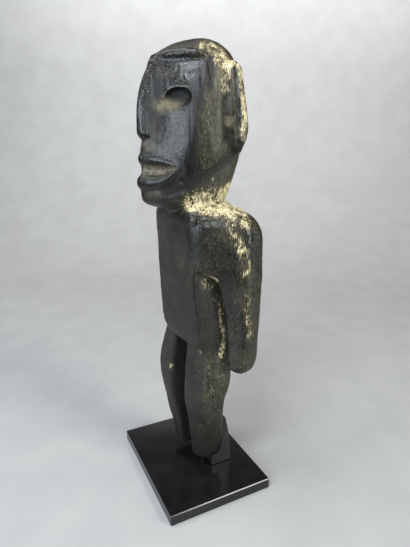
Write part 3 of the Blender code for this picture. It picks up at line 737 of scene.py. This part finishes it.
arm_flecks = stroke(mirrored, [(44.4, 16.8, 138), (44.2, 18.5, 122), (44, 21, 106)], 6.0)
crotch = patch(mirrored, (23.4, -6.8, 92.2), (4.0, 4.0, 3.4))
jaw_fleck = patch(stone, (20.0, -18.9, 207.4), (1.8, 2.4, 1.6))
jaw_fleck += patch(stone, (24.7, 0.3, 209.8), (3.0, 3.0, 2.0))
knee_spot = patch(stone, (-12.3, -11.4, 67.0), (3.2, 3.6, 4.4))
belly = patch(stone, (12.0, -16.0, 154.0), (10.0, 5.0, 8.0))
deposit = 0.96 * neck + 0.60 * shoulder + 0.56 * arm_front + 0.88 * crown + 0.72 * ear_rim
deposit += 0.80 * slit_edge + 0.46 * recess_flecks + 0.56 * recess_roof + 0.44 * arm_flecks
deposit += 0.45 * behind_temple + 0.60 * crotch + 0.45 * jaw_fleck + 0.40 * belly
deposit += 0.16 * smooth(broad_hollow, 0.6, 2.4) * smooth(z, 90.0, 130.0)
deposit += 0.24 * smooth(outer_side, 0.4, 0.8) * smooth(z, 212.0, 236.0) * smooth(x, 25.5, 28.5)
deposit = np.clip(deposit * (0.70 + 0.55 * blotch) + 0.66 * knee_spot, 0.0, 1.0)

# Ochre soil that stains whole hollows: the eyes' floors, the open mouth and under the nose.
eye_floor = patch(mirrored, (13.5, -25.0, 253.0), (14.0, 12.0, 7.5)) * smooth(z, 261.0, 257.0)
# The eyes' upper sockets, which get deep painted shade below.
eye_roof = patch(mirrored, (17.5, -20.0, 260.0), (12.0, 10.0, 7.0)) * smooth(broad_hollow, -0.2, 0.5)
mouth = stroke(mirrored, [(0, -36, 215.4), (6, -33, 215.2), (12, -28.6, 215), (18.5, -23.5, 216.4)], 5.0)
mouth *= smooth(fine_hollow, -0.25, 0.1)
under_nose = patch(mirrored, (5.0, -34.0, 229.5), (13.0, 9.0, 5.0))
temple_path = [(29.7, 0, 272), (30.6, 0.4, 257), (30.2, 0.8, 243), (28.6, 1.2, 228)]
temple_streak = stroke(mirrored, temple_path, 5.0)
chin = patch(mirrored, (7.0, -32.0, 200.5), (12.0, 10.0, 5.0))
ochre = 0.90 * eye_floor + 0.85 * mouth + 0.40 * under_nose + 0.22 * temple_streak + 0.15 * chin
ochre += 0.25 * stroke(mirrored, [(7.6, -29.6, 254), (8.2, -30, 236)], 5.0)
ochre += 0.25 * patch(mirrored, (24.0, 12.0, 216.0), (12.0, 12.0, 14.0))
ochre += 0.9 * patch(mirrored, (32.5, 6.9, 244.0), (5.0, 4.0, 4.6))
ochre = np.clip(ochre, 0.0, 1.0)

# Olive and brown where the polish is worn through: outer legs, sides and back of the head, feet.
olive = 0.9 * smooth(outer_side, 0.30, 0.75) * smooth(z, 100.0, 88.0) * smooth(z, 14.0, 34.0)
olive += 0.85 * smooth(-facing[:, 1], 0.55, 0.0) * smooth(z, 196.0, 212.0) * smooth(x + y, 10.0, 18.0)
olive += 0.30 * smooth(facing[:, 2], 0.2, 0.8) * smooth(z, 200.0, 270.0)
olive += 0.45 * smooth(facing[:, 1], 0.0, 0.7) * smooth(z, 205.0, 190.0)
olive += 0.30 * smooth(z, 205.0, 190.0) * smooth(outer_side, 0.1, 0.6) * smooth(z, 86.0, 110.0)
olive += 0.14 * (1.0 - front_of_head)
olive = np.clip(olive * (1.0 - 0.8 * brow_band), 0.0, 1.0)
brown = 0.8 * smooth(z, 34.0, 6.0) + 0.5 * patch(mirrored, (14.0, -10.0, 96.0), (16.0, 8.0, 6.0))
brown += 0.45 * smooth(z, 204.0, 192.0) * blotch
brown = np.clip(brown, 0.0, 1.0)

# Painted shade, near black: in lines, creases and undercuts, high in the eye sockets, beside the face's edge,
# on the lower lip and at the mouth's corners, on the legs' inner sides and low on the legs and feet, and over
# the belly's, arms' and chest's planes.
jaw_line = stroke(mirrored, jaw, 6.5)
face_edge_path = [(27.6, -7.5, 274), (27.8, -12, 262), (27.6, -14.6, 250), (27.2, -15, 236), (24.4, -15, 221)]
face_edge = stroke(mirrored, face_edge_path, 7.5)
nose_crease = stroke(mirrored, [(8, -28.4, 266), (7.6, -29.6, 254), (8.2, -30, 240)], 5.0)
temple_line = stroke(mirrored, [(29.8, -5.0, 262.0), (29, -4.2, 272), (27.2, -3.4, 280)], 2.8)
ear_line = stroke(mirrored, [(30.2, 3.6, 272), (31.8, 3.2, 257), (31.4, 3.6, 244), (28.8, 5, 231)], 2.6)
inner_legs = smooth(outer_side, -0.2, -0.7) * smooth(z, 100.0, 90.0)
recess = smooth(z, 150.0, 143.0) * smooth(z, 88.0, 100.0) * smooth(outer_side, 0.5, 0.85)
recess *= smooth(x, 33.0, 30.0)
belly_shade = patch(mirrored, (16.0, -14.0, 116.0), (22.0, 12.0, 34.0))
chest_shade = patch(mirrored, (28.6, -14.0, 172.0), (7.0, 9.0, 18.0))
arm_plane = patch(mirrored, (38.0, 2.0, 140.0), (10.0, 14.0, 44.0)) * smooth(x, 30.0, 33.0)
painted_shade = 0.90 * jaw_line + 0.90 * face_edge + 0.7 * ear_line + 0.5 * nose_crease
painted_shade += 0.8 * temple_line + smooth(fine_hollow, 0.10, 0.75)
painted_shade += 0.75 * smooth(broad_hollow, 1.2, 3.4) * smooth(z, 195.0, 170.0)
painted_shade += 0.8 * inner_legs + 0.55 * recess + 0.35 * belly_shade + 0.75 * chest_shade + 0.65 * arm_plane
painted_shade += 0.55 * smooth(z, 26.0, 6.0) + 0.35 * smooth(z, 70.0, 30.0)
lip_path = [(0, -40, 207.4), (4, -38.4, 207.3), (10, -33, 207.8), (15, -28.6, 210.2), (18.2, -25.4, 213)]
lower_lip = stroke(mirrored, lip_path, 5.0)
mouth_corner = patch(mirrored, (21.4, -20.6, 216.8), (5.5, 5.5, 5.5))
painted_shade = (painted_shade + 0.5 * lower_lip + 0.6 * mouth_corner) * (1.0 - brow_band)
painted_shade = np.clip(painted_shade * (1.0 - 0.8 * np.maximum(deposit, ochre)) + 1.5 * eye_roof, 0.0, 1.0)

# Polish, strongest on the face, the shoulders' slope and the arms' outer ridge.
shoulder_slope = stroke(mirrored, [(28, -13, 187), (33, -6, 183), (39.5, 3, 178)], 10.0)
arm_ridge = stroke(mirrored, [(43.0, 16, 183), (45, 16, 170), (45.2, 16, 155)], 6.0)
inner_cheek = patch(mirrored, (8.0, -32.0, 243.0), (12.0, 9.0, 26.0))
eye = np.clip(1.4 * np.maximum(eye_floor, eye_roof), 0.0, 1.0)
polish = 0.50 + 0.30 * smooth(-fine_hollow, 0.04, 0.30) - 0.25 * smooth(z, 26.0, 6.0)
polish -= 0.45 * smooth(-facing[:, 1], 0.4, 0.8) * smooth(z, 176.0, 150.0)
polish -= 0.45 * recess + 0.40 * smooth(z, 280.0, 286.0)
polish -= 0.35 * smooth(z, 100.0, 90.0) * smooth(outer_side, 0.3, 0.7)
polish = np.maximum(polish, 0.95 * front_of_head) + 0.45 * shoulder_slope + 0.8 * brow_band
polish *= (1.0 - 0.6 * inner_cheek) * (1.0 - eye) * (1.0 - nose_crease) * (1.0 - temple_line)
polish *= 1.0 - 0.8 * mouth_corner
polish *= 1.0 - 0.7 * np.clip(jaw_line + 0.6 * face_edge, 0.0, 1.0)
polish = np.clip(polish + arm_ridge, 0.0, 1.0)

# The amounts go onto the skin's vertices for the finish, the painted shade among them.
for name, amount in (
    ("deposit", deposit), ("ochre", ochre), ("olive", olive), ("brown", brown), ("painted_shade", painted_shade),
    ("polish", polish),
):
    layer = skin.attributes.new(name, "FLOAT", "POINT")
    layer.data.foreach_set("value", amount.astype(np.float32))


# The stone's finish: a dense near-black stone with a green cast, polished to a blue-grey gleam.
# Its wear goes to matt olive and brown, a cream crust lies over it in flecks and strokes, and painted shade
# darkens its creases, undercuts and shaded planes to near black.

STONE_DARK = (0.0042, 0.0044, 0.0038, 1.0)
STONE_LIGHT = (0.021, 0.020, 0.0155, 1.0)
STONE_OLIVE = (0.036, 0.034, 0.020, 1.0)
OLIVE_SPECK = (0.20, 0.165, 0.080, 1.0)
STONE_BROWN = (0.030, 0.023, 0.014, 1.0)
SOIL_OCHRE = (0.180, 0.153, 0.095, 1.0)
CRUST_GOLD = (0.36, 0.27, 0.115, 1.0)
CRUST_PALE = (0.80, 0.70, 0.43, 1.0)
# The near-black of the painted shade.
PAINTED_SHADE_BLACK = (0.0040, 0.0041, 0.0038, 1.0)
STONE_IOR = 1.48
STONE_PITS = 0.00016


def finish_stone():
    material, shader, place = new_finish("polished dark stone with pale crust")
    link = material.node_tree.links.new

    def amount(name):
        kind = {"attribute_type": "GEOMETRY", "attribute_name": name}
        return place.node("ShaderNodeAttribute", kind, {}, output="Fac")

    cloud = grain(place, 0.011, detail=5.0)
    dust = grain(place, 0.0034, detail=4.0, rough=0.65)
    speck = grain(place, 0.0012, detail=2.0)
    fibre = grain(place, 0.0006, stretch=(1.0, 1.0, 6.0), turn=(0.5, 0.9, 0.0))
    cross = grain(place, 0.0006, stretch=(1.0, 1.0, 5.0), turn=(-0.7, 0.3, 1.0))
    streak = grain(place, 0.0015, stretch=(1.0, 1.0, 13.0))
    sockets = {"Vector": place, "Scale": 760.0}
    cells = place.node("ShaderNodeTexVoronoi", {"feature": "DISTANCE_TO_EDGE"}, sockets)
    cracks = cells.rise(0.16, 0.02)

    mottle = (cloud * 0.5 + dust * 0.5).rise(0.40, 0.62)
    colour = mottle.blend(STONE_DARK, STONE_LIGHT)
    rubbed = amount("olive") * (cloud * 0.35 + streak * 0.65).rise(0.38, 0.62)
    colour = rubbed.blend(colour, STONE_OLIVE)
    golden = (amount("olive") + 0.04) * (speck * 0.3 + cross * 0.7).rise(0.53, 0.66)
    colour = golden.blend(colour, OLIVE_SPECK)
    colour = (amount("brown") * dust.rise(0.38, 0.60)).blend(colour, STONE_BROWN)
    soil = (amount("ochre") + amount("deposit") * 0.55) * (dust * 0.6 + fibre * 0.4).rise(0.30, 0.60)
    colour = soil.blend(colour, SOIL_OCHRE)
    # Painted shade: near black over the creases, undercuts and shaded planes, and a little more matt there.
    colour = (amount("painted_shade") * (1.15 - dust * 0.5)).blend(colour, PAINTED_SHADE_BLACK)
    ragged = (fibre - 0.5) * 3.0 + (cross - 0.5) * 3.0 + (dust - 0.5) * 3.4 + 1.0
    crust = (amount("deposit") * ragged).rise(0.42, 1.08)
    pale = (dust * 0.5 + cross * 0.5 + amount("deposit") * 0.16).rise(0.54, 0.74)
    colour = crust.blend(colour, pale.blend(CRUST_GOLD, CRUST_PALE))
    link(colour.socket, shader.inputs["Base Color"])

    worn = 0.54 - amount("polish") * 0.43 + (dust - 0.5) * 0.24 + (speck - 0.5) * 0.20
    matt = crust * 0.35 + soil * 0.24 + golden * 0.15 + amount("painted_shade") * 0.10
    link((worn + matt).socket, shader.inputs["Roughness"])
    height = speck * 0.35 + fibre * 0.2 + dust * 0.45 + crust * 0.6 - cracks * 0.45 * amount("polish")
    sockets = {"Height": height, "Strength": 0.8, "Distance": STONE_PITS}
    bump = place.node("ShaderNodeBump", {}, sockets)
    link(bump.socket, shader.inputs["Normal"])
    shader.inputs["IOR"].default_value = STONE_IOR
    return material


idol = bpy.data.objects.new("carved_idol", skin)
bpy.context.scene.collection.objects.link(idol)
skin.materials.clear()
skin.materials.append(finish_stone())
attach(idol, "root")
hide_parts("idol")


# The floor: a sheet of pale paper that runs back and curves up, far behind the idol.

CAMERA_HEADING = math.radians(62.912)
PAPER_NEAR = 0.20
PAPER_FAR = 0.50
PAPER_BEND = 0.50
PAPER_TOP = 0.69
PAPER_HALF = 0.80
PAPER_STEPS = 12
PAPER_DULL = (0.46, 0.456, 0.452, 1.0)
PAPER_PALE = (0.50, 0.497, 0.487, 1.0)


def lay_paper():
    bm = bmesh.new()
    profile = [(-PAPER_NEAR, 0.0), (PAPER_FAR, 0.0)]
    for step in range(1, PAPER_STEPS + 1):
        angle = math.radians(90.0 * step / PAPER_STEPS)
        along = PAPER_FAR + PAPER_BEND * math.sin(angle)
        profile.append((along, PAPER_BEND * (1.0 - math.cos(angle))))
    profile.append((PAPER_FAR + PAPER_BEND, PAPER_TOP))
    line = [bm.verts.new((-PAPER_HALF, along, up)) for along, up in profile]
    edges = [bm.edges.new(pair) for pair in zip(line, line[1:])]
    swept = bmesh.ops.extrude_edge_only(bm, edges=edges)
    moved = [v for v in swept["geom"] if isinstance(v, bmesh.types.BMVert)]
    bmesh.ops.translate(bm, vec=(2.0 * PAPER_HALF, 0.0, 0.0), verts=moved)
    bmesh.ops.recalc_face_normals(bm, faces=bm.faces)
    bmesh.ops.transform(bm, matrix=Matrix.Rotation(CAMERA_HEADING, 4, "Z"), verts=bm.verts)
    mesh = bpy.data.meshes.new("paper")
    bm.to_mesh(mesh)
    bm.free()
    for face in mesh.polygons:
        face.use_smooth = True
    paper = bpy.data.objects.new("paper", mesh)
    bpy.context.scene.collection.objects.link(paper)
    material, shader, place = new_finish("pale paper")
    link = material.node_tree.links.new
    tone = grain(place, 0.05, detail=4.0).rise(0.3, 0.7)
    link(tone.blend(PAPER_DULL, PAPER_PALE).socket, shader.inputs["Base Color"])
    shader.inputs["Roughness"].default_value = 0.75
    mesh.materials.append(material)
    return paper


lay_paper()


# Camera at the photograph's angle, and soft studio light. A window in front of the idol and two small
# panels above it give the face its sheen. Small panels beside the camera and behind the idol's left
# light the arm, the ear and the plate's edges. One broad panel hangs overhead, and one washes the paper.

CAMERA_TILT = math.radians(75.287)
CAMERA_ROLL = math.radians(0.760)
CAMERA_PLACE = (0.25742, -0.12232, 0.23267)
CAMERA_LENS = 27.049
view = bpy.data.cameras.new("camera")
view.lens = CAMERA_LENS
view.sensor_width = 36.0
view.sensor_fit = "AUTO"
view.clip_start = 0.01
view.clip_end = 20.0
camera = bpy.data.objects.new("camera", view)
bpy.context.scene.collection.objects.link(camera)
camera.matrix_world = (
    Matrix.Translation(CAMERA_PLACE)
    @ Matrix.Rotation(CAMERA_HEADING, 4, "Z")
    @ Matrix.Rotation(CAMERA_TILT, 4, "X")
    @ Matrix.Rotation(CAMERA_ROLL, 4, "Z")
)
bpy.context.scene.camera = camera
bpy.context.scene.view_settings.view_transform = "Standard"


def soft_panel(name, place, aim, size, power, colour):
    """A rectangular light. Its size is in metres and its power in watts."""
    light = bpy.data.lights.new(name, "AREA")
    light.shape = "RECTANGLE"
    light.size, light.size_y = size
    light.energy = power
    light.color = colour
    panel = bpy.data.objects.new(name, light)
    bpy.context.scene.collection.objects.link(panel)
    panel.location = place
    panel.rotation_euler = (Vector(aim) - Vector(place)).to_track_quat("-Z", "Y").to_euler()


IDOL_MIDDLE = (0.0, 0.0, 0.18)
HEAD_MIDDLE = (0.02, -0.02, 0.27)
ARM_MIDDLE = (0.045, 0.016, 0.19)
CHEST_SIDE = (0.037, 0.0, 0.195)
PAPER_HEAD = (-0.835, 0.562, 0.68)
soft_panel("front_window", (0.47, -0.91, 0.38), HEAD_MIDDLE, (0.54, 0.60), 7.8, (0.80, 0.90, 1.0))
soft_panel("high_front", (0.364, -0.402, 0.883), HEAD_MIDDLE, (0.31, 0.31), 4.0, (0.88, 0.94, 1.0))
soft_panel("right_front", (-0.21, -0.82, 0.61), HEAD_MIDDLE, (0.16, 0.30), 1.2, (0.80, 0.90, 1.0))
soft_panel("beside_camera", (0.82, -0.35, 0.45), CHEST_SIDE, (0.18, 0.26), 1.1, (0.86, 0.93, 1.0))
soft_panel("left_low", (0.66, 0.53, 0.22), ARM_MIDDLE, (0.20, 0.34), 1.9, (0.84, 1.0, 0.96))
soft_panel("left_back", (0.78, 0.43, 0.76), IDOL_MIDDLE, (0.30, 0.30), 5.4, (1.0, 0.97, 0.92))
soft_panel("overhead", (-0.22, -0.40, 1.10), IDOL_MIDDLE, (0.70, 0.70), 4.8, (1.0, 0.99, 0.97))
soft_panel("backdrop_wash", (-0.524, 0.403, 0.90), PAPER_HEAD, (1.3, 0.2), 5.0, (0.98, 0.98, 1.0))

world = bpy.data.worlds.new("studio")
bpy.context.scene.world = world
world.use_nodes = True
world.node_tree.nodes["Background"].inputs["Color"].default_value = (0.80, 0.83, 0.88, 1.0)
world.node_tree.nodes["Background"].inputs["Strength"].default_value = 0.12
